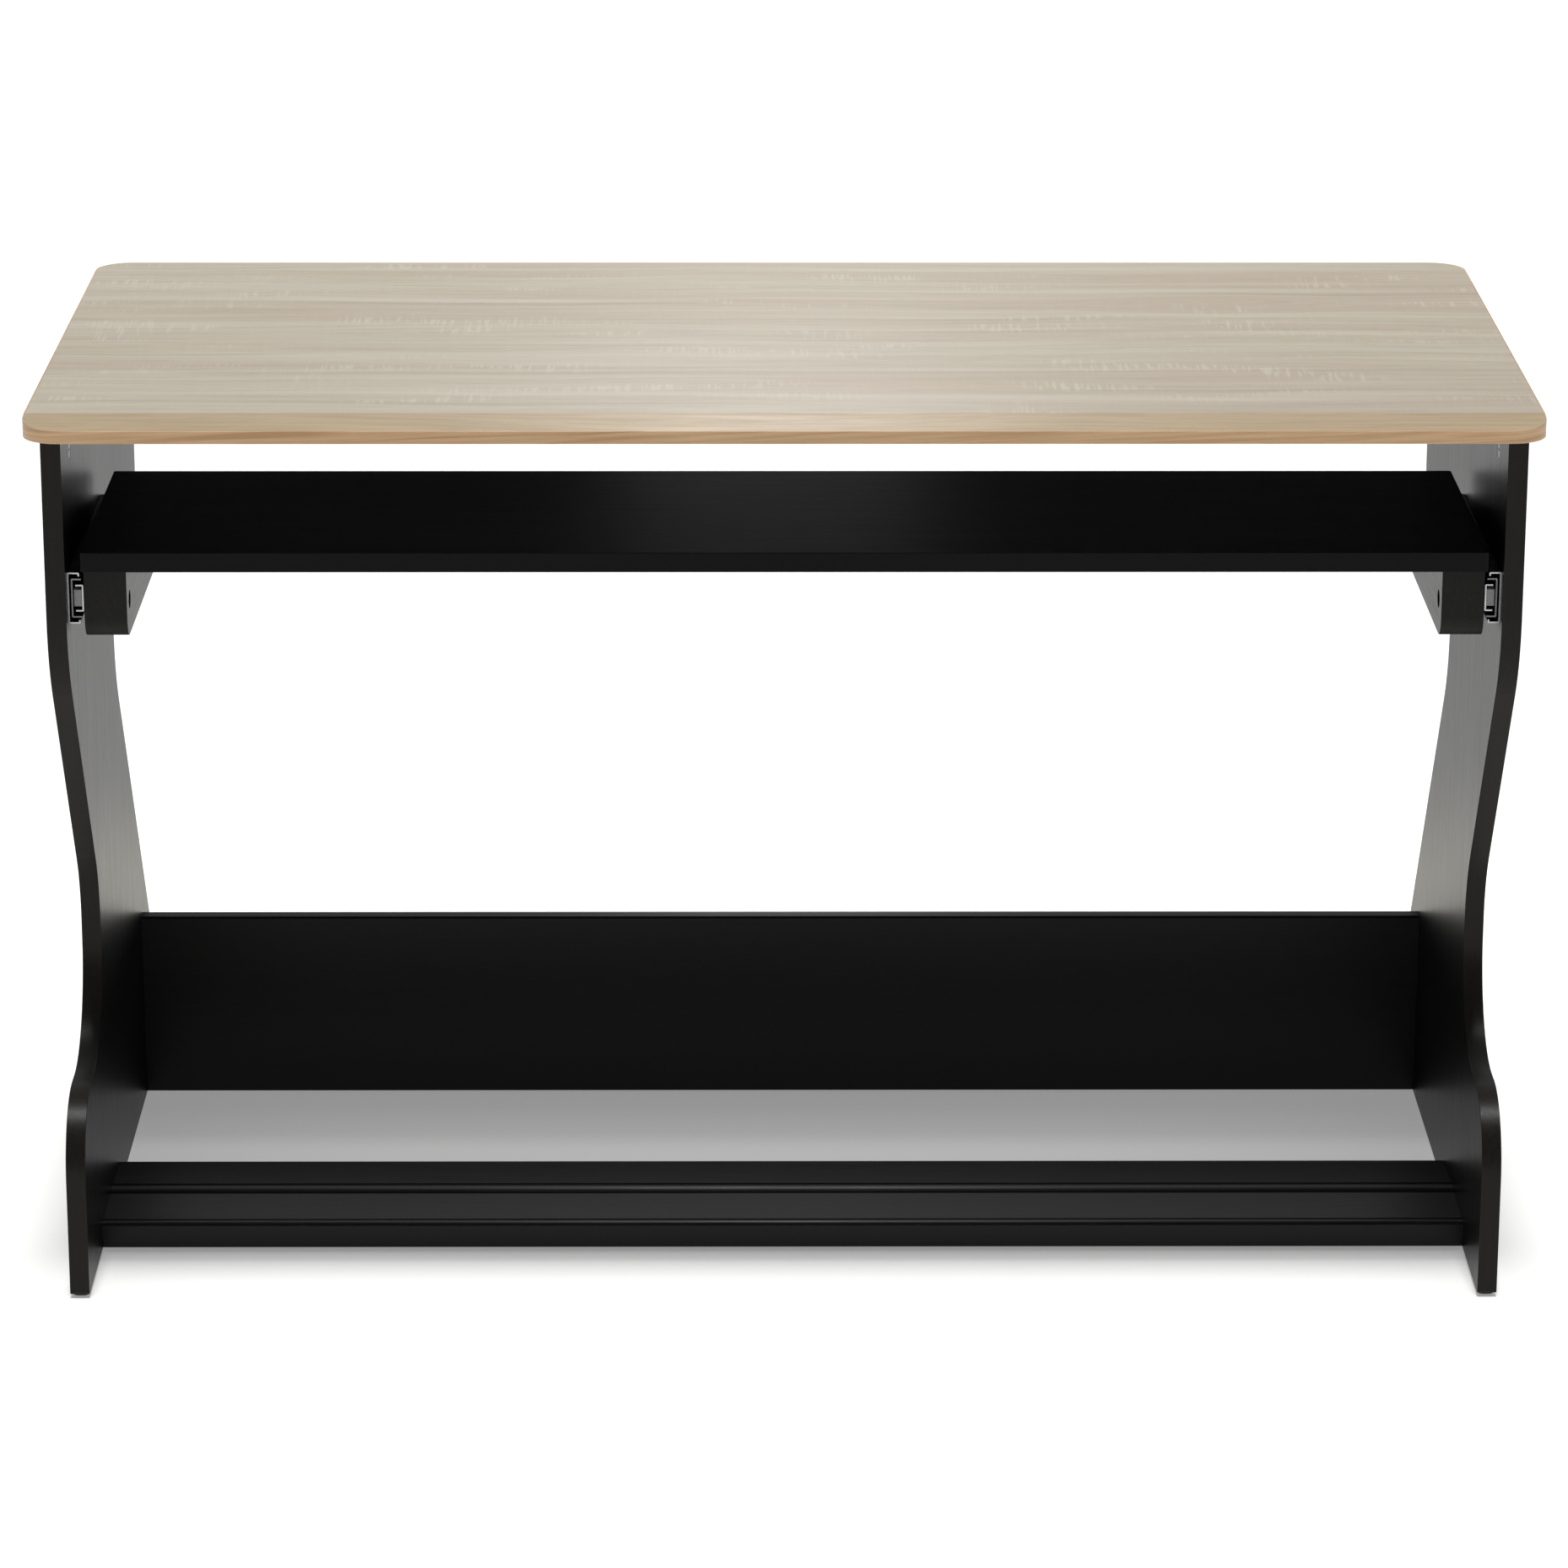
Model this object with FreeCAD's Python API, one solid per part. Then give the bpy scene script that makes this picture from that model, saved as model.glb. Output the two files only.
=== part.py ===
import FreeCAD, Part
import math
import os

# Computer desk with a sliding keyboard tray, in millimetres.
# X runs to the user's right, Y runs from the front edge to the rear edge, Z is up.
# The origin is on the floor under the middle of the desktop.

# Driving dimensions ---------------------------------------------------------
DESK_WIDTH = 1200.0
DESK_DEPTH = 600.0
DESK_HEIGHT = 740.0

# Boards
BOARD = 16.0
BAND = 0.8
TOP_BAND = 1.0
BAND_EDGE = 0.4
TOP_CORNER_RADIUS = 30.0
TOP_BEVEL_DEPTH = 38.0
TOP_BEVEL_DROP = 5.8
TOP_SIDE_OVERHANG = 14.0

# Side panels: an upper flange, a slanted leg and a long foot
PANEL_SETBACK = 20.0
PANEL_REAR_GAP = 44.0
FOOT_SETBACK = 10.0
FOOT_REAR_GAP = 20.0
FOOT_HEIGHT = 163.0
FLANGE_HEIGHT = 184.0
FRONT_STRAIGHT = 185.0
FRONT_NOTCH = 158.0
NOTCH_RISE = 138.0
REAR_NOTCH_GAP = 252.0
REAR_NOTCH_RISE = 101.0
FOOT_REAR_RISE = 117.0

# Oblong glides nailed under the feet
GLIDE_HEIGHT = 3.0
GLIDE_LENGTH = 40.0
GLIDE_WIDTH = 14.0
GLIDE_CORNER = 5.0
GLIDE_EDGE = 1.0
GLIDE_INSET = 6.0
NAIL_RADIUS = 1.0
NAIL_LENGTH = 10.0

# Cross boards near the floor
CROSS_LIFT = 4.0
BACK_BOARD_HEIGHT = 165.0
BACK_BOARD_INSET = 73.0
BACK_BOARD_EDGE = 3.0
FOOT_BAR_SETBACK = 111.0
FOOT_BAR_DEPTH = 146.0
FOOT_BAR_THICKNESS = 22.0
FOOT_BAR_SLOPE_DROP = 2.5
FOOT_BAR_EDGE = 2.0
BEAD_WIDTH = 17.0
NOSE_BEAD_WIDTH = 13.0
BEAD_HEIGHT = 2.4
BEAD_ROOT = 1.0
GROOVE_RADIUS = 1.6
GROOVE_RISE = 0.3
REAR_STRIP = 57.0

# Keyboard tray
TRAY_SETBACK = 15.0
TRAY_DEPTH = 264.0
TRAY_CLEARANCE = 92.0
TRAY_EDGE_RADIUS = 2.0
CLEAT_SETBACK = 20.0
CLEAT_WIDTH = 34.0
CLEAT_HEIGHT = 61.0
CLEAT_LENGTH = 240.0
CLEAT_NOSE_RADIUS = 17.0
CLEAT_EDGE = 0.5

# Telescopic slides, drawn in their own section: U away from the panel, V up
SLIDE_LENGTH = 250.0
SLIDE_THICKNESS = 12.7
SLIDE_HEIGHT = 42.0
SLIDE_SETBACK = 33.0
SLIDE_DROP = 26.0
OUTER_SHY = 3.0
MIDDLE_SHY = 1.7
SHEET = 1.2
BEND = 1.0
BALL_RADIUS = 1.85
BALL_CLEARANCE = 0.05
BALL_PITCH = 15.0
CAGE_LENGTH = 118.0
CAGE_SHEET = 0.8
CAGE_MARGIN = 0.45
WEB_GAP = 1.8
LIP = 3.0
STOP_LENGTH = 3.5
STOP_HALF = 8.0
STOP_GAP = 0.4
BLOCK_LENGTH = 8.5
BLOCK_HALF = 7.0
BLOCK_SETBACK = 0.5
BLOCK_PLAY = 0.6
BLOCK_EDGE = 0.8
SLIDE_SCREWS = 3
SLIDE_SCREW_MARGIN = 30.0

# Fittings
CAM_RADIUS = 7.5
CAM_DEPTH = 12.7
CAM_EDGE = 24.0
TRAY_CAM_EDGE = 33.0
CAM_BORE = 4.0
CAM_CLEARANCE = 0.15
CROSS_SLOT_LENGTH = 8.0
CROSS_SLOT_WIDTH = 1.6
CROSS_SLOT_DEPTH = 2.0
BOLT_SHANK = 3.0
BOLT_PLAY = 0.4
BOLT_HEAD_BACK = 2.0
BOLT_HEAD = 3.0
BOLT_NECK = 1.7
BOLT_NECK_LENGTH = 4.0
BOLT_THREAD = 2.5
BOLT_GRIP = 11.0
DOWEL_RADIUS = 4.0
DOWEL_LENGTH = 30.0
DOWEL_SHALLOW = 11.0
SCREW_RADIUS = 1.75
SCREW_HEAD = 3.0
SCREW_LENGTH = 14.0
DESKTOP_CAM_INSET = 60.0
DESKTOP_DOWEL_INSET = 110.0
BACK_CAM_SPREAD = 48.0
FOOT_CAM_SPREAD = 45.0
TRAY_CAM_INSET = 21.0
TRAY_DOWEL_INSET = 70.0

# Derived places -------------------------------------------------------------
FRONT = -DESK_DEPTH / 2
REAR = DESK_DEPTH / 2
TOP_UNDERSIDE = DESK_HEIGHT - BOARD
PANEL_OUTER = DESK_WIDTH / 2 - TOP_SIDE_OVERHANG
PANEL_INNER = PANEL_OUTER - BOARD
PANEL_FRONT = FRONT + PANEL_SETBACK
FLANGE_REAR = REAR - PANEL_REAR_GAP
FOOT_FRONT = FRONT + FOOT_SETBACK
FOOT_REAR = REAR - FOOT_REAR_GAP
TRAY_HALF = PANEL_INNER - SLIDE_THICKNESS
TRAY_TOP = TOP_UNDERSIDE - TRAY_CLEARANCE
TRAY_UNDERSIDE = TRAY_TOP - BOARD
TRAY_FRONT = FRONT + TRAY_SETBACK
CLEAT_FRONT = TRAY_FRONT + CLEAT_SETBACK
CLEAT_REAR = CLEAT_FRONT + CLEAT_LENGTH
SLIDE_FRONT = FRONT + SLIDE_SETBACK
SLIDE_LEVEL = TRAY_UNDERSIDE - SLIDE_DROP
BACK_BOARD_FRONT = FOOT_REAR - BACK_BOARD_INSET - BOARD
FOOT_BAR_FRONT = FRONT + FOOT_BAR_SETBACK
SIDES = (("left", -1.0), ("right", 1.0))

UP = FreeCAD.Vector(0, 0, 1)
DOWN = FreeCAD.Vector(0, 0, -1)


def vec(x, y, z):
    return FreeCAD.Vector(x, y, z)


def box(low, high):
    """A box between two opposite corners."""
    size = high - low
    return Part.makeBox(size.x, size.y, size.z, low)


def rod(start, direction, radius, length):
    """A cylinder that starts at a point and runs along a direction."""
    return Part.makeCylinder(radius, length, start, direction)


def cut_all(shape, cutters):
    return shape.cut(Part.makeCompound(cutters)) if cutters else shape


def rounded_wire(corners):
    """A closed wire through (point, radius) corners, each rounded by a tangent arc.

    Two arcs that don't fit on the straight between them are made smaller together.
    """
    count = len(corners)
    turns = []
    share = 0.96
    nothing = 1e-6
    for index in range(count):
        point, radius = corners[index]
        back = (corners[index - 1][0] - point).normalize()
        ahead = (corners[(index + 1) % count][0] - point).normalize()
        half = back.getAngle(ahead) / 2
        turns.append([point, back, ahead, half, radius / math.tan(half)])
    for index in range(count):
        other = (index + 1) % count
        room = share * (turns[other][0] - turns[index][0]).Length
        wanted = turns[index][4] + turns[other][4]
        if wanted > room:
            for turn in (turns[index], turns[other]):
                turn[4] *= room / wanted
    edges = []
    ends = []
    for point, back, ahead, half, reach in turns:
        start = point + back * reach
        end = point + ahead * reach
        ends.append((start, end))
        if reach > 0:
            radius = reach * math.tan(half)
            inward = (back + ahead).normalize()
            middle = point + inward * (radius / math.sin(half) - radius)
            edges.append(Part.Arc(start, middle, end).toShape())
    for index in range(count):
        start = ends[index][1]
        end = ends[(index + 1) % count][0]
        if (end - start).Length > nothing:
            edges.append(Part.LineSegment(start, end).toShape())
    return Part.Wire(Part.sortEdges(edges)[0])


def plate(corners, direction):
    """A board cut to an outline of rounded corners."""
    return Part.Face(rounded_wire(corners)).extrude(direction)


def banded_plate(corners, direction, thickness, wedge=None):
    """The same board as a core and the edge band glued round it, less an optional wedge."""
    face = Part.Face(rounded_wire(corners))
    whole = face.extrude(direction)
    core = face.makeOffset2D(-thickness).extrude(direction)
    if wedge:
        whole = whole.cut(wedge)
        core = core.cut(wedge)
    way = vec(*direction).normalize()
    rims = [edge for edge in whole.Edges if is_rim(edge, face, way)]
    return core, whole.makeFillet(BAND_EDGE, rims).cut(core)


def is_rim(edge, face, way):
    """True for an edge that lies in the outline's wall and doesn't run through the thickness."""
    middle = edge.valueAt((edge.FirstParameter + edge.LastParameter) / 2)
    along = edge.tangentAt((edge.FirstParameter + edge.LastParameter) / 2)
    foot = middle - way * (middle - face.BoundBox.Center).dot(way)
    on_wall = face.OuterWire.distToShape(Part.Vertex(foot))[0] < 0.01
    return on_wall and abs(along.dot(way)) < 0.9


def soften(shape, radius, keep):
    """Round the edges for which keep(edge) is true."""
    return shape.makeFillet(radius, [edge for edge in shape.Edges if keep(edge)])


def lies_at(low, high, value):
    """True where a box side is flat and at this value."""
    return abs(low - value) < 0.01 and abs(high - value) < 0.01


# Cam fittings and dowels ----------------------------------------------------
def cross_slots(mouth, way, across, face):
    """Two cutters for the screwdriver cross in a cam lock's end."""
    slots = []
    for long_way, short_way in ((way, across), (across, way)):
        reach = long_way * (CROSS_SLOT_LENGTH / 2) + short_way * (CROSS_SLOT_WIDTH / 2)
        corner_a = mouth - reach - face * CROSS_SLOT_DEPTH
        corner_b = mouth + reach
        low = vec(*(min(a, b) for a, b in zip(corner_a, corner_b)))
        high = vec(*(max(a, b) for a, b in zip(corner_a, corner_b)))
        slots.append(box(low, high))
    return slots


class Joinery:
    """Cam locks, bolts and dowels of one set of joints, with the cuts that they need."""

    def __init__(self):
        self.locks = []
        self.bolts = []
        self.dowels = []
        self.held_cuts = []
        self.mating_cuts = []

    def cam(self, edge_point, towards, face, reach=CAM_EDGE):
        """A cam in a board. edge_point is on its end, at mid thickness; face is where the cam opens."""
        centre = edge_point - towards * reach
        mouth = centre + face * (BOARD / 2)
        lock_mouth = mouth - face * CAM_CLEARANCE
        lock = rod(lock_mouth, -face, CAM_RADIUS - CAM_CLEARANCE, CAM_DEPTH - 2 * CAM_CLEARANCE)
        tunnel_start = centre - towards * BOLT_SHANK
        tunnel = rod(tunnel_start, towards, BOLT_SHANK + BOLT_PLAY, CAM_RADIUS + BOLT_SHANK)
        slots = cross_slots(lock_mouth, towards, face.cross(towards), face)
        self.locks.append(cut_all(lock, [tunnel] + slots))
        neck_start = BOLT_HEAD - BOLT_HEAD_BACK
        neck_end = neck_start + BOLT_NECK_LENGTH
        head = rod(centre - towards * BOLT_HEAD_BACK, towards, BOLT_SHANK, BOLT_HEAD)
        neck = rod(centre + towards * neck_start, towards, BOLT_NECK, BOLT_NECK_LENGTH)
        shank = rod(centre + towards * neck_end, towards, BOLT_SHANK, reach - neck_end)
        thread = rod(edge_point, towards, BOLT_THREAD, BOLT_GRIP)
        self.bolts.append(head.fuse([neck, shank, thread]).removeSplitter())
        self.held_cuts.append(rod(mouth, -face, CAM_RADIUS, CAM_DEPTH))
        self.held_cuts.append(rod(centre, towards, CAM_BORE, reach))
        self.mating_cuts.append(rod(edge_point, towards, BOLT_THREAD, BOLT_GRIP))

    def dowel(self, edge_point, towards):
        """A dowel across the joint, shallow in the mating board."""
        start = edge_point - towards * (DOWEL_LENGTH - DOWEL_SHALLOW)
        pin = rod(start, towards, DOWEL_RADIUS, DOWEL_LENGTH)
        self.dowels.append(pin)
        self.held_cuts.append(pin)
        self.mating_cuts.append(pin)


# Desktop --------------------------------------------------------------------
def desktop_outline():
    half = DESK_WIDTH / 2
    places = ((-half, FRONT), (half, FRONT), (half, REAR), (-half, REAR))
    return [(vec(x, y, TOP_UNDERSIDE), TOP_CORNER_RADIUS) for x, y in places]


def bevel_wedge():
    """What the front bevel takes off the upper face."""
    reach = DESK_WIDTH / 2 + BOARD
    ahead = BOARD
    slope = TOP_BEVEL_DROP / TOP_BEVEL_DEPTH
    points = [
        vec(-reach, FRONT + TOP_BEVEL_DEPTH, DESK_HEIGHT),
        vec(-reach, FRONT - ahead, DESK_HEIGHT - TOP_BEVEL_DROP - slope * ahead),
        vec(-reach, FRONT - ahead, DESK_HEIGHT + BOARD),
        vec(-reach, FRONT + TOP_BEVEL_DEPTH, DESK_HEIGHT + BOARD),
    ]
    wire = Part.makePolygon(points + points[:1])
    return Part.Face(wire).extrude(vec(2 * reach, 0, 0))


# Side panels ----------------------------------------------------------------
def panel_outline(x):
    """The side panel's outline in the plane at x, anticlockwise seen from the right."""
    base = GLIDE_HEIGHT
    foot_top = base + FOOT_HEIGHT
    flange_low = TOP_UNDERSIDE - FLANGE_HEIGHT
    notch = PANEL_FRONT + FRONT_NOTCH
    rear_notch = REAR - REAR_NOTCH_GAP
    places = [
        (PANEL_FRONT, TOP_UNDERSIDE, 0.0),
        (PANEL_FRONT, TOP_UNDERSIDE - FRONT_STRAIGHT, 125.0),
        (notch, foot_top + NOTCH_RISE, 105.0),
        (notch, foot_top, 88.0),
        (FOOT_FRONT, foot_top, 64.0),
        (FOOT_FRONT, base, 3.0),
        (FOOT_REAR, base, 3.0),
        (FOOT_REAR, base + FOOT_REAR_RISE, 125.0),
        (rear_notch, flange_low - REAR_NOTCH_RISE, 115.0),
        (rear_notch, flange_low, 50.0),
        (FLANGE_REAR, flange_low, 30.0),
        (FLANGE_REAR, TOP_UNDERSIDE, 0.0),
    ]
    return [(vec(x, y, z), radius) for y, z, radius in places]


# Cross boards ---------------------------------------------------------------
def make_back_board():
    low = vec(-PANEL_INNER, BACK_BOARD_FRONT, CROSS_LIFT)
    high = vec(PANEL_INNER, BACK_BOARD_FRONT + BOARD, CROSS_LIFT + BACK_BOARD_HEIGHT)
    board = box(low, high)

    def is_long_top_edge(edge):
        place = edge.BoundBox
        return lies_at(place.ZMin, place.ZMax, high.z) and place.XLength > BOARD

    return soften(board, BACK_BOARD_EDGE, is_long_top_edge)


def bead(y, z, width):
    """A low rounded ridge that runs the length of the foot bar, sunk a little to fuse."""
    points = [
        vec(-PANEL_INNER, y, z - BEAD_ROOT),
        vec(-PANEL_INNER, y, z),
        vec(-PANEL_INNER, y + width / 2, z + BEAD_HEIGHT),
        vec(-PANEL_INNER, y + width, z),
        vec(-PANEL_INNER, y + width, z - BEAD_ROOT),
    ]
    edges = [
        Part.LineSegment(points[0], points[1]).toShape(),
        Part.Arc(points[1], points[2], points[3]).toShape(),
        Part.LineSegment(points[3], points[4]).toShape(),
        Part.LineSegment(points[4], points[0]).toShape(),
    ]
    return Part.Face(Part.Wire(edges)).extrude(vec(2 * PANEL_INNER, 0, 0))


def groove(y, z):
    """A cutter for the shallow round groove beside a bead."""
    start = vec(-PANEL_INNER - 1, y, z + GROOVE_RISE)
    return Part.makeCylinder(GROOVE_RADIUS, 2 * PANEL_INNER + 2, start, vec(1, 0, 0))


def make_foot_bar():
    """A board whose rear strip is level and whose front strip falls gently forward."""
    top = CROSS_LIFT + FOOT_BAR_THICKNESS
    rear = FOOT_BAR_FRONT + FOOT_BAR_DEPTH
    ridge = rear - REAR_STRIP - BEAD_WIDTH
    nose = FOOT_BAR_FRONT + NOSE_BEAD_WIDTH
    nose_top = top - FOOT_BAR_SLOPE_DROP
    outline = [
        (vec(-PANEL_INNER, FOOT_BAR_FRONT, CROSS_LIFT), FOOT_BAR_EDGE),
        (vec(-PANEL_INNER, rear, CROSS_LIFT), FOOT_BAR_EDGE),
        (vec(-PANEL_INNER, rear, top), FOOT_BAR_EDGE),
        (vec(-PANEL_INNER, ridge, top), 0.0),
        (vec(-PANEL_INNER, nose, nose_top), 0.0),
        (vec(-PANEL_INNER, FOOT_BAR_FRONT, nose_top), 0.0),
    ]
    board = plate(outline, vec(2 * PANEL_INNER, 0, 0))
    beads = [bead(ridge, top, BEAD_WIDTH), bead(FOOT_BAR_FRONT, nose_top, NOSE_BEAD_WIDTH)]
    grooves = [
        groove(ridge - GROOVE_RADIUS, top),
        groove(rear - REAR_STRIP + GROOVE_RADIUS, top),
        groove(nose + GROOVE_RADIUS, nose_top),
    ]
    return board.fuse(beads).cut(grooves).removeSplitter()


# Keyboard tray --------------------------------------------------------------
def tray_outline():
    places = [
        (-TRAY_HALF, TRAY_FRONT),
        (TRAY_HALF, TRAY_FRONT),
        (TRAY_HALF, TRAY_FRONT + TRAY_DEPTH),
        (-TRAY_HALF, TRAY_FRONT + TRAY_DEPTH),
    ]
    return [(vec(x, y, TRAY_UNDERSIDE), TRAY_EDGE_RADIUS) for x, y in places]


def make_cleat(side):
    """The thick block under one end of the tray, with its lower front corner rounded."""
    outer = side * TRAY_HALF
    inner = outer - side * CLEAT_WIDTH
    low = TRAY_UNDERSIDE - CLEAT_HEIGHT
    outline = [
        (vec(outer, CLEAT_FRONT, TRAY_UNDERSIDE), 0.0),
        (vec(outer, CLEAT_FRONT, low), CLEAT_NOSE_RADIUS),
        (vec(outer, CLEAT_REAR, low), BAND),
        (vec(outer, CLEAT_REAR, TRAY_UNDERSIDE), 0.0),
    ]
    block = plate(outline, vec(inner - outer, 0, 0))

    def is_free_edge(edge):
        place = edge.BoundBox
        seated = lies_at(place.ZMin, place.ZMax, TRAY_UNDERSIDE)
        return not seated and any(lies_at(place.XMin, place.XMax, x) for x in (inner, outer))

    return soften(block, CLEAT_EDGE, is_free_edge)


# Telescopic slides ----------------------------------------------------------
class Slide:
    """One three-part ball slide on the inner face of a side panel."""

    half = SLIDE_HEIGHT / 2
    track = 2 * (BALL_RADIUS + BALL_CLEARANCE)
    middle_half = half - SHEET - track
    inner_half = middle_half - SHEET - track
    middle_web = SHEET + WEB_GAP
    inner_web = SLIDE_THICKNESS - SHEET
    outer_reach = SLIDE_THICKNESS - OUTER_SHY
    middle_reach = SLIDE_THICKNESS - MIDDLE_SHY
    inner_reach = middle_web + SHEET + WEB_GAP + CAGE_MARGIN
    outer_ball_u = outer_reach - SHEET - 2 * CAGE_MARGIN - BALL_RADIUS
    inner_ball_u = inner_web - 3 * CAGE_MARGIN - BALL_RADIUS

    def __init__(self, side):
        self.side = side
        self.moving_length = SLIDE_LENGTH - STOP_LENGTH - STOP_GAP

    def block(self, u0, u1, v0, v1, y0, y1):
        """A box given in the slide's own section, y from the slide's front."""
        x0 = self.side * (PANEL_INNER - u0)
        x1 = self.side * (PANEL_INNER - u1)
        low = vec(min(x0, x1), SLIDE_FRONT + y0, SLIDE_LEVEL + min(v0, v1))
        high = vec(max(x0, x1), SLIDE_FRONT + y1, SLIDE_LEVEL + max(v0, v1))
        return box(low, high)

    def channel(self, web, reach, half, length, lip=0.0):
        """A C section: a web at U = web, flanges out to U = reach, small lips at their ends."""
        away = web + SHEET if reach > web else web
        back = web if reach > web else web + SHEET
        pieces = [self.block(web, web + SHEET, -half, half, 0, length)]
        for v in (half, -half):
            inside = v * (1 - SHEET / half)
            pieces.append(self.block(away, reach, v, inside, 0, length))
            if lip:
                pieces.append(self.block(reach - SHEET, reach, inside, v * (1 - lip / half), 0, length))
        rail = pieces[0].fuse(pieces[1:]).removeSplitter()
        bends = [self.side * (PANEL_INNER - back)]
        if lip:
            bends.append(self.side * (PANEL_INNER - reach))

        def is_outer_bend(edge):
            place = edge.BoundBox
            at_bend = any(lies_at(place.XMin, place.XMax, x) for x in bends)
            levels = (SLIDE_LEVEL + half, SLIDE_LEVEL - half)
            return at_bend and any(lies_at(place.ZMin, place.ZMax, level) for level in levels)

        return soften(rail, BEND, is_outer_bend)

    def screw_places(self):
        span = SLIDE_LENGTH - 2 * SLIDE_SCREW_MARGIN
        return [SLIDE_SCREW_MARGIN + span * i / (SLIDE_SCREWS - 1) for i in range(SLIDE_SCREWS)]

    def screws(self, u, towards_u):
        """Countersunk screws whose heads are flush in a web that ends at U = u."""
        direction = vec(-self.side * towards_u, 0, 0)
        solids = []
        for y in self.screw_places():
            start = vec(self.side * (PANEL_INNER - u), SLIDE_FRONT + y, SLIDE_LEVEL)
            head = Part.makeCone(SCREW_HEAD, SCREW_RADIUS, SHEET, start, direction)
            shank = rod(start + direction * SHEET, direction, SCREW_RADIUS, SCREW_LENGTH - SHEET)
            solids.append(head.fuse(shank).removeSplitter())
        return solids

    def outer_rail(self, screws):
        return cut_all(self.channel(0.0, self.outer_reach, self.half, SLIDE_LENGTH, LIP), screws)

    def middle_rail(self):
        rail = self.channel(self.middle_web, self.middle_reach, self.middle_half, self.moving_length)
        holes = []
        for y in self.screw_places():
            start = vec(self.side * (PANEL_INNER - SHEET), SLIDE_FRONT + y, SLIDE_LEVEL)
            holes.append(rod(start, vec(-self.side, 0, 0), 2 * SCREW_HEAD, 2 * self.middle_web))
        return cut_all(rail, holes)

    def inner_rail(self, screws):
        rail = self.channel(self.inner_web, self.inner_reach, self.inner_half, self.moving_length)
        return cut_all(rail, screws)

    def balls(self, u, v):
        """Two rows of balls at height +v and -v."""
        count = int((CAGE_LENGTH - BALL_PITCH) / BALL_PITCH) + 1
        first = SLIDE_LENGTH / 2 - (count - 1) * BALL_PITCH / 2
        x = self.side * (PANEL_INNER - u)
        rows = []
        for way in (1, -1):
            for i in range(count):
                centre = vec(x, SLIDE_FRONT + first + i * BALL_PITCH, SLIDE_LEVEL + way * v)
                rows.append(Part.makeSphere(BALL_RADIUS, centre))
        return rows

    def cage(self, web, ball_u, v, balls):
        """The sheet that spaces the balls: a thin C that holds both rows."""
        start = (SLIDE_LENGTH - CAGE_LENGTH) / 2
        end = start + CAGE_LENGTH
        edge = ball_u + BALL_RADIUS + CAGE_MARGIN
        pieces = [self.block(web, web + CAGE_SHEET, -v - CAGE_SHEET / 2, v + CAGE_SHEET / 2, start, end)]
        for way in (1, -1):
            low = way * (v - CAGE_SHEET / 2)
            high = way * (v + CAGE_SHEET / 2)
            pieces.append(self.block(web, edge, low, high, start, end))
        holes = []
        for ball in balls:
            middle = ball.BoundBox.Center
            start = middle - UP * 2 * BALL_RADIUS
            holes.append(rod(start, UP, BALL_RADIUS + BALL_CLEARANCE, 4 * BALL_RADIUS))
        return cut_all(pieces[0].fuse(pieces[1:]).removeSplitter(), holes)

    def front_block(self, start):
        """The plastic guide block in the front end of the inner rail."""
        end = BLOCK_SETBACK + BLOCK_LENGTH
        block = self.block(start, self.inner_web, -BLOCK_HALF, BLOCK_HALF, BLOCK_SETBACK, end)
        face = SLIDE_FRONT + BLOCK_SETBACK
        return soften(block, BLOCK_EDGE, lambda e: lies_at(e.BoundBox.YMin, e.BoundBox.YMax, face))

    def nodes(self):
        """Every piece of this slide, by its short name."""
        panel_screws = self.screws(SHEET, -1)
        tray_screws = self.screws(self.inner_web, 1)
        outer_v = (self.half - SHEET + self.middle_half) / 2
        inner_v = (self.middle_half - SHEET + self.inner_half) / 2
        outer_balls = self.balls(self.outer_ball_u, outer_v)
        inner_balls = self.balls(self.inner_ball_u, inner_v)
        web_play = (WEB_GAP - CAGE_SHEET) / 2
        inner_space = self.middle_web + SHEET
        stop_start = SLIDE_LENGTH - STOP_LENGTH
        rear_stop = self.block(SHEET, self.outer_reach, -STOP_HALF, STOP_HALF, stop_start, SLIDE_LENGTH)
        return {
            "outer_rail": self.outer_rail(panel_screws),
            "middle_rail": self.middle_rail(),
            "inner_rail": self.inner_rail(tray_screws),
            "outer_balls": Part.makeCompound(outer_balls),
            "inner_balls": Part.makeCompound(inner_balls),
            "outer_cage": self.cage(SHEET + web_play, self.outer_ball_u, outer_v, outer_balls),
            "inner_cage": self.cage(inner_space + web_play, self.inner_ball_u, inner_v, inner_balls),
            "front_block": self.front_block(inner_space + BLOCK_PLAY),
            "rear_stop": rear_stop,
            "panel_screws": Part.makeCompound(panel_screws),
            "tray_screws": Part.makeCompound(tray_screws),
        }


# Fastener places ------------------------------------------------------------
def desktop_joinery(side):
    """Two cams and two dowels along a side panel's top edge, up into the desktop."""
    work = Joinery()
    x = side * (PANEL_INNER + BOARD / 2)
    inward = vec(-side, 0, 0)
    for y in (PANEL_FRONT + DESKTOP_CAM_INSET, FLANGE_REAR - DESKTOP_CAM_INSET):
        work.cam(vec(x, y, TOP_UNDERSIDE), UP, inward)
    for y in (PANEL_FRONT + DESKTOP_DOWEL_INSET, FLANGE_REAR - DESKTOP_DOWEL_INSET):
        work.dowel(vec(x, y, TOP_UNDERSIDE), UP)
    return work


def back_board_joinery(side):
    """Two cams, opening rearward, and one dowel in an end of the rear cross board."""
    work = Joinery()
    x = side * PANEL_INNER
    y = BACK_BOARD_FRONT + BOARD / 2
    out = vec(side, 0, 0)
    middle = CROSS_LIFT + BACK_BOARD_HEIGHT / 2
    for rise in (-BACK_CAM_SPREAD, BACK_CAM_SPREAD):
        work.cam(vec(x, y, middle + rise), out, vec(0, 1, 0))
    work.dowel(vec(x, y, middle), out)
    return work


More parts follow.
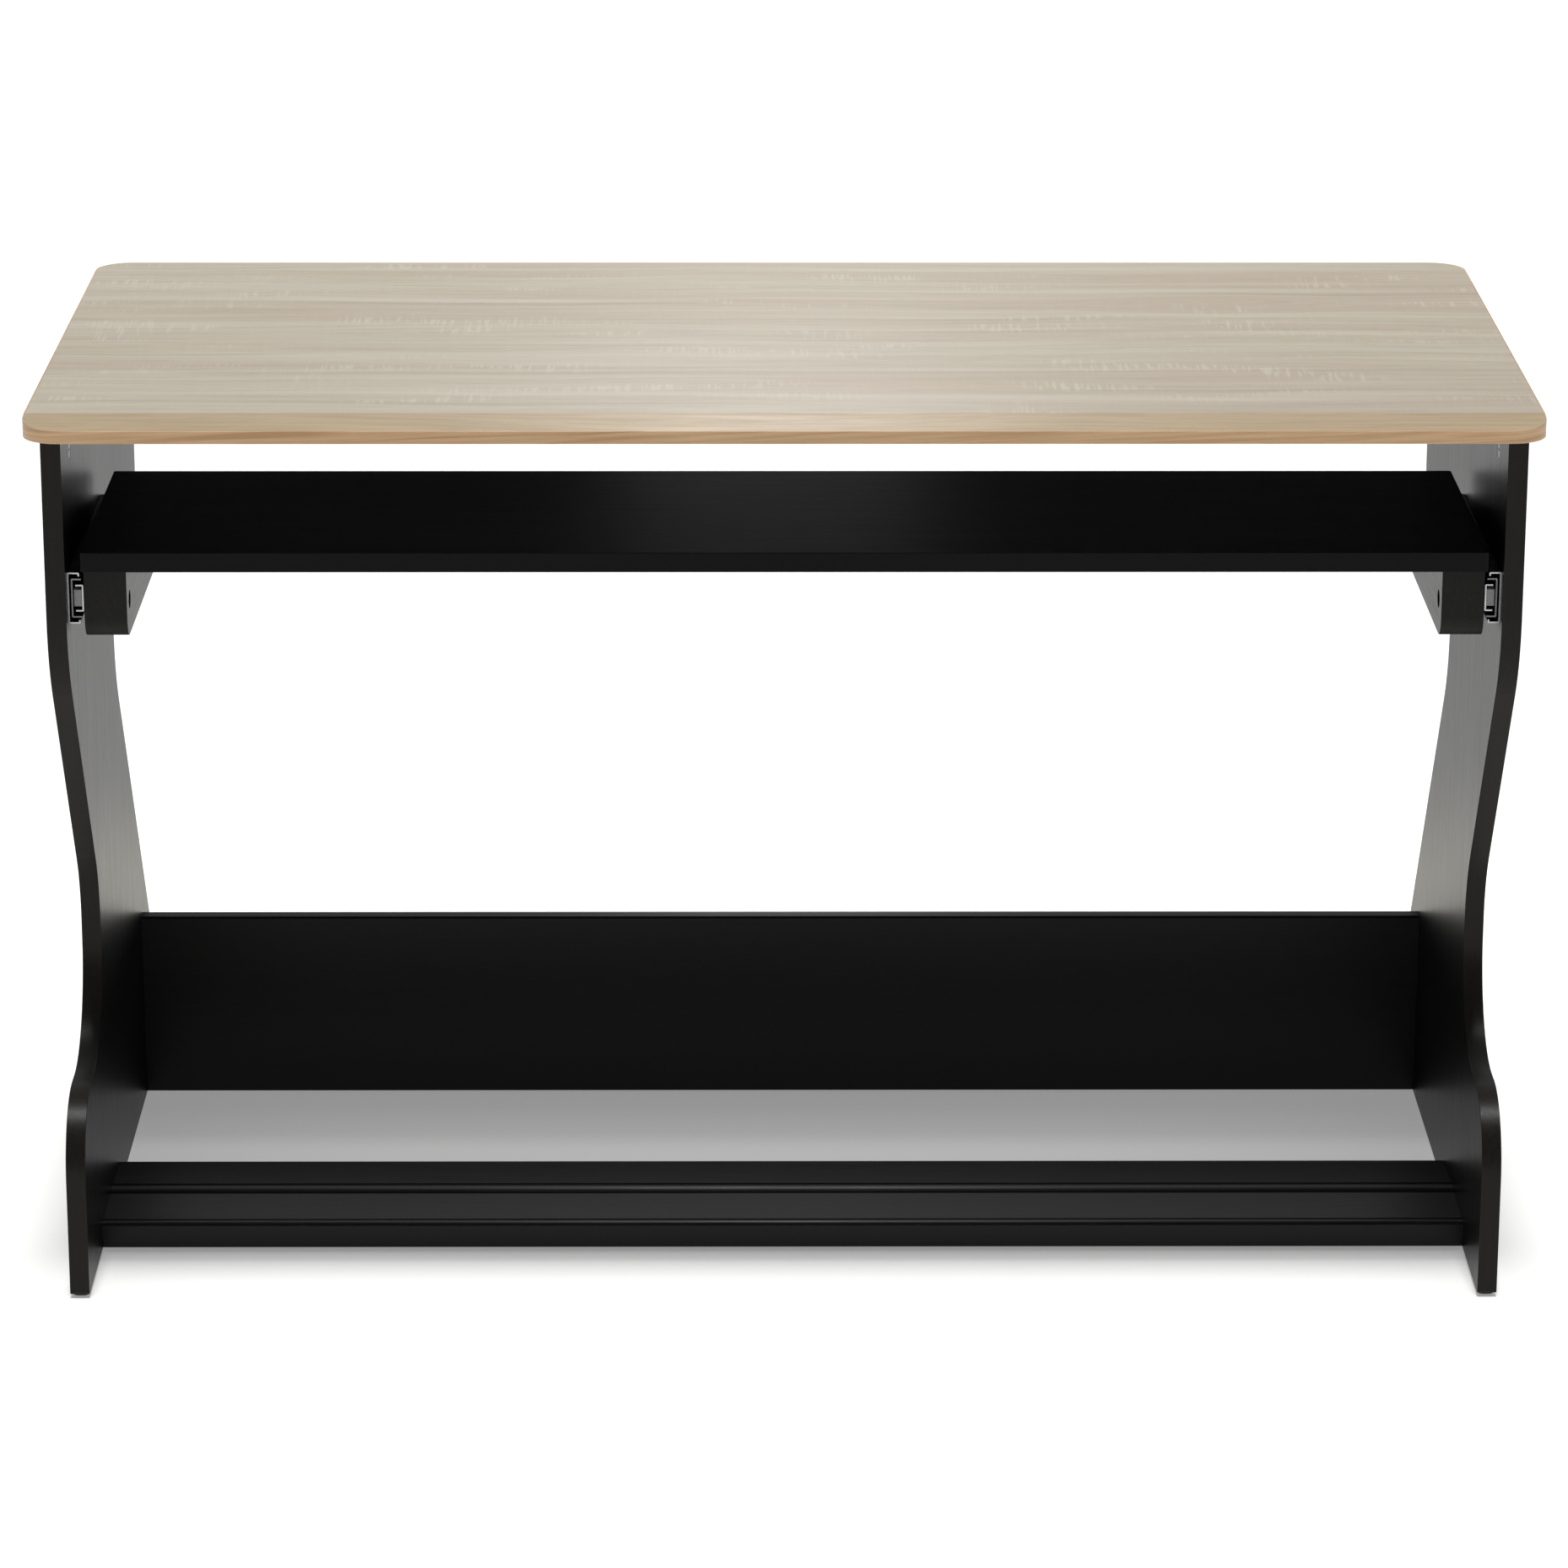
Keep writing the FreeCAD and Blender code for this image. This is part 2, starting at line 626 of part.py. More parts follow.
def foot_bar_joinery(side):
    """Two cams, opening downward, and one dowel in an end of the foot bar."""
    work = Joinery()
    x = side * PANEL_INNER
    z = CROSS_LIFT + BOARD / 2
    out = vec(side, 0, 0)
    middle = FOOT_BAR_FRONT + FOOT_BAR_DEPTH / 2
    for shift in (-FOOT_CAM_SPREAD, FOOT_CAM_SPREAD):
        work.cam(vec(x, middle + shift, z), out, DOWN)
    work.dowel(vec(x, middle, z), out)
    return work


def tray_joinery(side):
    """Two cams, opening inward, and two dowels along a cleat's top, up into the tray."""
    work = Joinery()
    x = side * (TRAY_HALF - CLEAT_WIDTH + BOARD / 2)
    inward = vec(-side, 0, 0)
    for y in (CLEAT_FRONT + TRAY_CAM_INSET, CLEAT_REAR - TRAY_CAM_INSET):
        work.cam(vec(x, y, TRAY_UNDERSIDE), UP, inward, TRAY_CAM_EDGE)
    for y in (CLEAT_FRONT + TRAY_DOWEL_INSET, CLEAT_REAR - TRAY_DOWEL_INSET):
        work.dowel(vec(x, y, TRAY_UNDERSIDE), UP)
    return work


def make_glides():
    """Oblong nail-in glides, two under each foot, each with two nails."""
    half = GLIDE_WIDTH / 2
    glides = []
    nails = []
    for _, side in SIDES:
        x = side * (PANEL_INNER + BOARD / 2)
        for y in (FOOT_FRONT + GLIDE_INSET, FOOT_REAR - GLIDE_INSET - GLIDE_LENGTH):
            far = y + GLIDE_LENGTH
            places = ((x - half, y), (x + half, y), (x + half, far), (x - half, far))
            pad = plate([(vec(*place, 0), GLIDE_CORNER) for place in places], UP * GLIDE_HEIGHT)
            pad = soften(pad, GLIDE_EDGE, lambda edge: lies_at(edge.BoundBox.ZMin, edge.BoundBox.ZMax, 0))
            for share in (1 / 4, 3 / 4):
                pin = rod(vec(x, y + share * GLIDE_LENGTH, GLIDE_HEIGHT), UP, NAIL_RADIUS, NAIL_LENGTH)
                nails.append(pin)
                pad = pad.fuse(pin)
            glides.append(pad.removeSplitter())
    return glides, nails


def export(name, shape):
    """Write one node, and say so."""
    shape.exportStep("parts/" + name + ".step")
    print(name, len(shape.Solids), "solids", round(shape.Volume / 1000, 2), "cm3")


def merged(groups, kind):
    """One list of what several sets of joints hold."""
    return [solid for group in groups for solid in getattr(group, kind)]


def main():
    os.makedirs("parts", exist_ok=True)
    glides, nails = make_glides()
    joints = {
        "desktop": [desktop_joinery(side) for _, side in SIDES],
        "back_panel": [back_board_joinery(side) for _, side in SIDES],
        "footrest": [foot_bar_joinery(side) for _, side in SIDES],
        "tray": [tray_joinery(side) for _, side in SIDES],
    }
    for name, groups in joints.items():
        export(name + "_cam_locks", Part.makeCompound(merged(groups, "locks")))
        export(name + "_cam_bolts", Part.makeCompound(merged(groups, "bolts")))
        export(name + "_dowels", Part.makeCompound(merged(groups, "dowels")))
    export("floor_glides", Part.makeCompound(glides))

    core, band = banded_plate(desktop_outline(), UP * BOARD, TOP_BAND, bevel_wedge())
    export("desktop_board", cut_all(core, merged(joints["desktop"], "mating_cuts")))
    export("desktop_edge_band", band)

    export("back_panel", cut_all(make_back_board(), merged(joints["back_panel"], "held_cuts")))
    export("footrest_board", cut_all(make_foot_bar(), merged(joints["footrest"], "held_cuts")))

    core, band = banded_plate(tray_outline(), UP * BOARD, BAND)
    export("tray_board", cut_all(core, merged(joints["tray"], "mating_cuts")))
    export("tray_edge_band", band)

    for index, (name, side) in enumerate(SIDES):
        slide = Slide(side).nodes()
        for piece, shape in slide.items():
            export(name + "_slide_" + piece, shape)
        inner_x = side * PANEL_INNER
        core, band = banded_plate(panel_outline(inner_x), vec(side * BOARD, 0, 0), BAND)
        cuts = list(joints["desktop"][index].held_cuts) + nails + slide["panel_screws"].Solids
        for kind in ("back_panel", "footrest"):
            cuts += joints[kind][index].mating_cuts
        export(name + "_side_panel", cut_all(core, cuts))
        export(name + "_panel_edge_band", cut_all(band, cuts))
        cleat_cuts = joints["tray"][index].held_cuts + slide["tray_screws"].Solids
        export(name + "_tray_cleat", cut_all(make_cleat(side), cleat_cuts))


main()
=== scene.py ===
import math

import bmesh
import bpy
from mathutils import Matrix, Vector


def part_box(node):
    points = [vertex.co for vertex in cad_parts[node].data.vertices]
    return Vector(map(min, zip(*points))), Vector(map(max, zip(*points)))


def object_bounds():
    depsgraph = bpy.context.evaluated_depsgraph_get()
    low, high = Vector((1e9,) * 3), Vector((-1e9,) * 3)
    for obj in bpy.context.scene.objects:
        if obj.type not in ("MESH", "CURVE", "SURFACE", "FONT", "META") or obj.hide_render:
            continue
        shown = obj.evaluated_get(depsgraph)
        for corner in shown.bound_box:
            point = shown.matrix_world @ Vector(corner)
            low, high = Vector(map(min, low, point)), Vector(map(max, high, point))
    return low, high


# Computer desk with keyboard tray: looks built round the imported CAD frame.
# X is to the user's right, Y to the rear, Z up, in metres.
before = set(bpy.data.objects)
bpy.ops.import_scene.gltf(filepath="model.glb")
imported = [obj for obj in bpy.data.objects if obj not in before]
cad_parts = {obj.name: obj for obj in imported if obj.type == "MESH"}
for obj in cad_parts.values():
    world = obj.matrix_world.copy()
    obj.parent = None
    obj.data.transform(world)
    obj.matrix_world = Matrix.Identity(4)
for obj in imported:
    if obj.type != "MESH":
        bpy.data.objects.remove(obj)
cad_low, cad_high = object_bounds()

# Places taken from the frame ------------------------------------------------
board_low, board_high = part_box("desktop_board")
band_low, band_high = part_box("desktop_edge_band")
DESK_FRONT = band_low.y
DESK_TOP = board_high.z
DESK_BOTTOM = board_low.z
BEVEL_DEPTH = 0.038
BEVEL_DROP = 0.0052


# Camera ---------------------------------------------------------------------
CAMERA_PLACE = Vector((-0.0297, -4.7169, 1.8182))
CAMERA_PITCH = 0.30136
CAMERA_YAW = -0.00659
CAMERA_ROLL = 0.00139
CAMERA_FIELD = 0.26869
SENSOR_WIDTH = 36.0
VIEW_DISTANCE = 60.0


def make_camera():
    data = bpy.data.cameras.new("camera")
    data.sensor_width = SENSOR_WIDTH
    data.lens = SENSOR_WIDTH / 2 / math.tan(CAMERA_FIELD / 2)
    data.clip_end = VIEW_DISTANCE
    camera = bpy.data.objects.new("camera", data)
    bpy.context.scene.collection.objects.link(camera)
    yaw = Matrix.Rotation(CAMERA_YAW, 4, "Z")
    pitch = Matrix.Rotation(math.pi / 2 - CAMERA_PITCH, 4, "X")
    roll = Matrix.Rotation(CAMERA_ROLL, 4, "Z")
    camera.matrix_world = Matrix.Translation(CAMERA_PLACE) @ yaw @ pitch @ roll
    bpy.context.scene.camera = camera


# Node helpers ---------------------------------------------------------------
# Nearly all of a noise lies in this range.
MIDDLE = (0.3, 0.7)


class Nodes:
    """A node tree, with short calls for the nodes used here."""

    def __init__(self, tree):
        self.tree = tree

    def add(self, kind, **settings):
        """A new node with its own settings, such as an operation."""
        made = self.tree.nodes.new(kind)
        for key, value in settings.items():
            setattr(made, key, value)
        return made

    def feed(self, socket, value):
        """Link a socket to another, or give it a number, vector or colour."""
        if isinstance(value, bpy.types.NodeSocket):
            self.tree.links.new(value, socket)
        elif not hasattr(value, "__len__"):
            socket.default_value = value
        elif len(socket.default_value) == len(value) + 1:
            socket.default_value = (*value, 1)
        else:
            socket.default_value = value

    def node(self, kind, **inputs):
        """A new node whose named inputs are fed."""
        made = self.add(kind)
        for key, value in inputs.items():
            self.feed(made.inputs[key.replace("_", " ")], value)
        return made

    def axis(self, name, source):
        return self.node("ShaderNodeSeparateXYZ", Vector=source).outputs[name]

    def math(self, operation, a, b):
        made = self.add("ShaderNodeMath", operation=operation)
        self.feed(made.inputs[0], a)
        self.feed(made.inputs[1], b)
        return made.outputs["Value"]

    def vector_math(self, operation, *values):
        made = self.add("ShaderNodeVectorMath", operation=operation)
        for socket, value in zip(made.inputs, values):
            self.feed(socket, value)
        return made

    def spread(self, value, low, high, to_low=0.0, to_high=1.0, smooth=False):
        """Map a range of a value onto another range."""
        ends = {"From_Min": low, "From_Max": high, "To_Min": to_low, "To_Max": to_high}
        made = self.node("ShaderNodeMapRange", Value=value, **ends)
        made.interpolation_type = "SMOOTHSTEP" if smooth else "LINEAR"
        return made.outputs["Result"]


class Graph(Nodes):
    """A new material, with calls for the textures and mixes used here."""

    def __init__(self, name):
        self.material = bpy.data.materials.new(name)
        self.material.use_nodes = True
        super().__init__(self.material.node_tree)
        self.shader = self.tree.nodes["Principled BSDF"]
        self.place = self.add("ShaderNodeTexCoord").outputs["Object"]

    def set(self, **values):
        """Feed named inputs of the shader."""
        for key, value in values.items():
            self.feed(self.shader.inputs[key.replace("_", " ")], value)

    def scaled(self, x, y, z, source=None, shift=(0, 0, 0)):
        """The object's place, stretched: larger factors make finer detail along that axis."""
        made = self.node("ShaderNodeMapping", Vector=source or self.place, Scale=(x, y, z), Location=shift)
        return made.outputs["Vector"]

    def noise(self, vector, detail=2.0, rough=0.5, warp=0.0):
        made = self.node("ShaderNodeTexNoise", Vector=vector, Scale=1.0, Detail=detail, Roughness=rough)
        made.inputs["Distortion"].default_value = warp
        return made.outputs["Fac"]

    def blend(self, factor, a, b):
        """Mix two colours."""
        made = self.add("ShaderNodeMix", data_type="RGBA")
        colour_inputs = [socket for socket in made.inputs if socket.type == "RGBA"]
        self.feed(made.inputs[0], factor)
        self.feed(colour_inputs[0], a)
        self.feed(colour_inputs[1], b)
        return next(socket for socket in made.outputs if socket.type == "RGBA")

    def bump(self, height, strength, distance):
        made = self.node("ShaderNodeBump", Height=height, Strength=strength, Distance=distance)
        self.feed(self.shader.inputs["Normal"], made.outputs["Normal"])


def darker(colour, share):
    """A colour at a share of its brightness."""
    return tuple(value * share for value in colour)


# Lights, world and floor ----------------------------------------------------
OVERHEAD_STRENGTH = 2.15
OVERHEAD_TILT = 0.11
OVERHEAD_ANGLE = 0.12

# The rear sky is WORLD_REAR; the front and the rear horizon are shares of it.
WORLD_REAR = 0.60
WORLD_FRONT = 0.33
WORLD_LOW = 0.04
FRONT_TO_REAR = (-0.5, 0.5)
HORIZON_TO_SKY = (0.22, 0.42)

FLOOR_GLOW = 0.26
FLOOR_REACH = 12.0
FLOOR_DIM = (0.85, 0.85, 0.84)
FLOOR_PALE = (0.86, 0.86, 0.85)


def area_light(name, place, target, size, watts, colour=(1, 1, 1), cone=180):
    """A rectangular lamp. size is its width and height; cone is how wide its light opens, in degrees."""
    data = bpy.data.lights.new(name, "AREA")
    data.shape = "RECTANGLE"
    data.size, data.size_y = size
    data.energy = watts
    data.color = colour
    data.spread = math.radians(cone)
    light = bpy.data.objects.new(name, data)
    bpy.context.scene.collection.objects.link(light)
    light.location = place
    light.rotation_euler = (Vector(target) - Vector(place)).to_track_quat("-Z", "Y").to_euler()
    light.visible_camera = False


def overhead_light():
    """A broad, far light from straight above, tilted a little forward."""
    data = bpy.data.lights.new("overhead", "SUN")
    data.energy = OVERHEAD_STRENGTH
    data.angle = OVERHEAD_ANGLE
    light = bpy.data.objects.new("overhead", data)
    bpy.context.scene.collection.objects.link(light)
    light.rotation_euler = (OVERHEAD_TILT, 0, 0)


def make_lights():
    """The overhead light, and three lamps behind the desk: for the top, the tray and the floor."""
    overhead_light()
    area_light("rear_high", place=(0, 1.3, 1.75), target=(0, -0.2, 0.74), size=(0.3, 0.3), watts=5)
    area_light("rear_low", place=(0, 2.0, 0.72), target=(0, -0.2, 0.64), size=(0.35, 0.25), watts=0.4)
    area_light("rear_floor", place=(0, 0.80, 0.65), target=(0, 0.80, 0), size=(1.4, 0.2), watts=1.4,
               colour=(1.0, 0.92, 0.70), cone=60)


def make_world():
    """A studio that lights more from behind the desk than from the front, and looks white."""
    world = bpy.data.worlds.new("studio")
    world.use_nodes = True
    nodes = Nodes(world.node_tree)
    place = nodes.add("ShaderNodeTexCoord").outputs["Generated"]
    rear = nodes.spread(nodes.axis("Y", place), *FRONT_TO_REAR, smooth=True)
    sky = nodes.spread(nodes.axis("Z", place), *HORIZON_TO_SKY, to_low=WORLD_LOW, smooth=True)
    both = nodes.node("ShaderNodeMix", Factor=rear, A=WORLD_FRONT, B=sky)
    seen = nodes.add("ShaderNodeLightPath").outputs["Is Camera Ray"]
    share = nodes.node("ShaderNodeMix", Factor=seen, A=both.outputs["Result"], B=1.0 / WORLD_REAR)
    background = world.node_tree.nodes["Background"]
    background.inputs["Color"].default_value = (1, 1, 1, 1)
    strength = nodes.math("MULTIPLY", share.outputs["Result"], WORLD_REAR)
    nodes.feed(background.inputs["Strength"], strength)
    bpy.context.scene.world = world


def make_floor():
    mesh = bpy.data.meshes.new("studio_floor")
    shape = bmesh.new()
    bmesh.ops.create_grid(shape, x_segments=1, y_segments=1, size=FLOOR_REACH)
    shape.to_mesh(mesh)
    shape.free()
    floor = bpy.data.objects.new("studio_floor", mesh)
    bpy.context.scene.collection.objects.link(floor)
    floor.location.z = cad_low.z
    graph = Graph("studio_floor")
    cloud = graph.noise(graph.scaled(2, 2, 2))
    graph.set(Base_Color=graph.blend(cloud, FLOOR_DIM, FLOOR_PALE), Roughness=0.9)
    graph.set(Specular_IOR_Level=0.1, Emission_Color=(1, 1, 1), Emission_Strength=FLOOR_GLOW)
    floor.data.materials.append(graph.material)


# Oak print ------------------------------------------------------------------
BLACK = (0.0045, 0.0045, 0.0042)
OAK_BASE = (0.500, 0.455, 0.360)
OAK_WARM = (0.470, 0.400, 0.315)
OAK_DARK = (0.350, 0.300, 0.235)
OAK_LIGHT = (0.570, 0.530, 0.440)
OAK_TAN = (0.445, 0.340, 0.212)
OAK_TAN_DARK = (0.315, 0.225, 0.130)
OAK_EDGE = (0.66, 0.435, 0.245)
OAK_EDGE_DARK = (0.45, 0.26, 0.12)
KNOT_PLACE = (0.37, 0.13, 0.74)
KNOT_STRETCH = (6.5, 17.0, 0.0)
KNOT_SWELL = 0.034
GRAIN_SWAY = 0.011
EDGE_SLANT = 0.05
BEVEL_LINE = 0.0006
# Heights above the desktop's bottom over which the underside's painted shade, a black skin, gives way to
# oak.
UNDERSIDE_PAINTED_SHADE = (0.0001, 0.0003)


def oak_grain(graph):
    """The place with the grain's bends in it, and how far away the knot is."""
    shift = tuple(-place * stretch for place, stretch in zip(KNOT_PLACE, KNOT_STRETCH))
    away = graph.scaled(*KNOT_STRETCH, shift=shift)
    knot = graph.vector_math("LENGTH", away).outputs["Value"]
    swell = graph.spread(knot, 0.0, 1.0, KNOT_SWELL, 0.0, smooth=True)
    side = graph.spread(graph.axis("Y", away), -0.2, 0.2, -1.0, 1.0)
    sway = graph.noise(graph.scaled(1.8, 6.0, 6.0), detail=1.0)
    sway = graph.spread(sway, *MIDDLE, -GRAIN_SWAY, GRAIN_SWAY)
    push = graph.math("SUBTRACT", sway, graph.math("MULTIPLY", swell, side))
    bend = graph.node("ShaderNodeCombineXYZ", Y=push)
    grain = graph.vector_math("ADD", graph.place, bend.outputs["Vector"])
    return grain.outputs["Vector"], knot


def oak_colour(graph):
    """Pale oak with its grain along X: bands, fine streaks, wavy lines, a knot and saw marks."""
    grain, knot = oak_grain(graph)

    bands = graph.noise(graph.scaled(0.9, 13.0, 13.0, grain), detail=2.0)
    colour = graph.blend(graph.spread(bands, 0.38, 0.62), OAK_BASE, OAK_WARM)

    streak = graph.noise(graph.scaled(9.0, 190.0, 190.0, grain), detail=6.0, rough=0.75)
    colour = graph.blend(graph.spread(streak, 0.45, 0.75, 0.0, 0.65), colour, OAK_DARK)

    pale = graph.noise(graph.scaled(1.7, 42.0, 42.0, grain, (3, 1, 0)), detail=3.0)
    colour = graph.blend(graph.spread(pale, 0.48, 0.75, 0.0, 0.7), colour, OAK_LIGHT)

    waves = graph.noise(graph.scaled(1.7, 62.0, 62.0, grain, (0, 5, 0)), detail=3.0, warp=0.5)
    near_knot = graph.spread(knot, 0.1, 1.0, 0.75, 0.4, smooth=True)
    lines = graph.math("MULTIPLY", graph.spread(waves, 0.58, 0.68, smooth=True), near_knot)
    colour = graph.blend(lines, colour, OAK_DARK)

    dashes = graph.noise(graph.scaled(45.0, 800.0, 800.0, grain), detail=1.0)
    colour = graph.blend(graph.spread(dashes, 0.6, 0.72, 0.0, 0.35), colour, OAK_DARK)

    flecks = graph.noise(graph.scaled(300.0, 20.0, 20.0), detail=1.0)
    patch = graph.noise(graph.scaled(7.0, 26.0, 26.0, None, (7, 4, 0)), detail=1.0)
    patch = graph.spread(patch, 0.57, 0.68, 0.07, 1.0)
    saw_marks = graph.math("MULTIPLY", graph.spread(flecks, 0.5, 0.62), patch)
    colour = graph.blend(graph.math("MULTIPLY", saw_marks, 0.6), colour, OAK_LIGHT)
    return colour, streak


def oak_top():
    """The desktop: pale oak above, tan on the bevelled front, and its underside painted black and rough as
    painted shade.
    """
    graph = Graph("oak_top")
    colour, streak = oak_colour(graph)
    tan = graph.blend(graph.spread(streak, 0.42, 0.7, 0.0, 0.7), OAK_TAN, OAK_TAN_DARK)
    bevel_end = DESK_FRONT + BEVEL_DEPTH
    behind_bevel = graph.spread(graph.axis("Y", graph.place), bevel_end - BEVEL_LINE, bevel_end)
    # The underside is painted black: painted shade, so the tray below reflects it dark.
    shade_low, shade_high = (DESK_BOTTOM + depth for depth in UNDERSIDE_PAINTED_SHADE)
    above = graph.spread(graph.axis("Z", graph.place), shade_low, shade_high)
    graph.set(Base_Color=graph.blend(above, BLACK, graph.blend(behind_bevel, tan, colour)))
    satin = graph.spread(streak, 0.3, 0.8, 0.42, 0.52)
    under = graph.math("MULTIPLY", graph.math("SUBTRACT", 1.0, above), 0.5)
    graph.set(Roughness=graph.math("ADD", satin, under), Specular_IOR_Level=0.5)
    graph.bump(streak, 0.12, 0.0004)
    return graph.material


def oak_band():
    """The edge band: tan, with long darker lines that cross it at a slant."""
    graph = Graph("oak_band")
    slant = graph.node("ShaderNodeMapping", Vector=graph.place, Rotation=(0, EDGE_SLANT, 0))
    grain = slant.outputs["Vector"]
    streak = graph.noise(graph.scaled(7.0, 7.0, 330.0, grain), detail=4.0, rough=0.6)
    colour = graph.blend(graph.spread(streak, 0.35, 0.8), OAK_EDGE, OAK_EDGE_DARK)
    lines = graph.noise(graph.scaled(2.0, 2.0, 120.0, grain, (2, 0, 5)), detail=2.0, warp=0.6)
    lines = graph.spread(lines, 0.56, 0.66, 0.0, 0.9, smooth=True)
    colour = graph.blend(lines, colour, OAK_EDGE_DARK)
    bevel_foot = DESK_TOP - BEVEL_DROP
    high = graph.spread(graph.axis("Z", graph.place), bevel_foot - 0.0004, bevel_foot)
    bevel_end = DESK_FRONT + BEVEL_DEPTH
    front = graph.spread(graph.axis("Y", graph.place), bevel_end, bevel_end - 0.001)
    colour = graph.blend(graph.math("MULTIPLY", high, front), colour, OAK_TAN)
    graph.set(Base_Color=colour, Roughness=0.45)
    graph.bump(streak, 0.1, 0.0003)
    return graph.material


# Black boards and plastics --------------------------------------------------
# How fine a board's pressed grain is on X, Y and Z, for each way that it runs.
ALONG_X = (12, 420, 420)
ALONG_Y = (420, 12, 420)
ALONG_Z = (420, 420, 12)


def black_board(name, stretch, level=0.20, rough=(0.30, 0.40), base=BLACK):
    """Black melamine with a faint pressed grain. level is how much it reflects."""
    graph = Graph(name)
    grain = graph.noise(graph.scaled(*stretch), detail=5.0, rough=0.7)
    pores = graph.noise(graph.scaled(900, 900, 900), detail=2.0)
    colour = graph.blend(graph.spread(grain, *MIDDLE), darker(base, 0.6), base)
    graph.set(Base_Color=colour, Specular_IOR_Level=level)
    graph.set(Roughness=graph.spread(grain, *MIDDLE, *rough))
    graph.bump(graph.math("ADD", grain, graph.math("MULTIPLY", pores, 0.3)), 0.10, 0.0004)
    return graph.material


def moulded(name, colour, rough, level=0.35):
    """Moulded plastic, and the tray's cams painted near-black as painted shade: a fine pebbled skin."""
    graph = Graph(name)
    skin = graph.noise(graph.scaled(700, 700, 700), detail=3.0)
    graph.set(Base_Color=graph.blend(skin, darker(colour, 0.8), colour), Specular_IOR_Level=level)
    graph.set(Roughness=graph.spread(skin, *MIDDLE, rough - 0.05, rough + 0.05))
    graph.bump(skin, 0.15, 0.0003)
    return graph.material


# Metals and dowels ----------------------------------------------------------
ROLLED_ALONG_Y = (700, 6, 700)


def metal(name, colour, rough, stretch, bump=0.08):
    """Plated or rolled metal with drawing marks and small changes of gloss."""
    graph = Graph(name)
    marks = graph.noise(graph.scaled(*stretch), detail=4.0, rough=0.6)
    cloud = graph.noise(graph.scaled(60, 60, 60), detail=2.0)
    clouded = graph.blend(graph.spread(cloud, *MIDDLE), darker(colour, 0.78), colour)
    graph.set(Base_Color=clouded, Metallic=1.0)
    graph.set(Roughness=graph.spread(marks, *MIDDLE, rough - 0.06, rough + 0.08))
    graph.bump(marks, bump, 0.0003)
    return graph.material


BEECH_DARK = (0.52, 0.33, 0.18)
BEECH_PALE = (0.66, 0.46, 0.28)
BEECH_FLECK = (0.3, 0.16, 0.08)


def beech():
    """Raw beech: fine fibres with short dark flecks."""
    graph = Graph("beech")
    fibre = graph.noise(graph.scaled(90, 900, 900), detail=3.0)
    flecks = graph.noise(graph.scaled(500, 1800, 1800), detail=1.0)
    colour = graph.blend(graph.spread(fibre, *MIDDLE), BEECH_DARK, BEECH_PALE)
    colour = graph.blend(graph.spread(flecks, 0.62, 0.7, 0.0, 0.6), colour, BEECH_FLECK)
    graph.set(Base_Color=colour, Roughness=0.7)
    graph.bump(fibre, 0.3, 0.0004)
    return graph.material


# Finishes -------------------------------------------------------------------
def board_materials():
    """Oak and black melamine; each black board has its own gloss and shade."""
    return {
        "oak_top": oak_top(),
        "oak_edge": oak_band(),
        "tray_top": black_board(
            "black_board_tray", ALONG_X, level=0.10, rough=(0.28, 0.36), base=(0.0025, 0.0023, 0.0018)),
        "cross_board": black_board("black_board_cross", ALONG_X),
        "side_board": black_board("black_board_side", ALONG_Z, level=0.06, rough=(0.31, 0.39)),
        "panel_band": black_board("black_band_panel", ALONG_Z, level=0.15, base=(0.0122, 0.0106, 0.0090)),
        "tray_band": black_board("black_band_tray", ALONG_X, level=0.10, base=(0.003, 0.0029, 0.0033)),
        "cleat": black_board(
            "black_board_cleat", ALONG_Y, level=0.10, rough=(0.34, 0.42), base=(0.019, 0.0182, 0.0172)),
    }


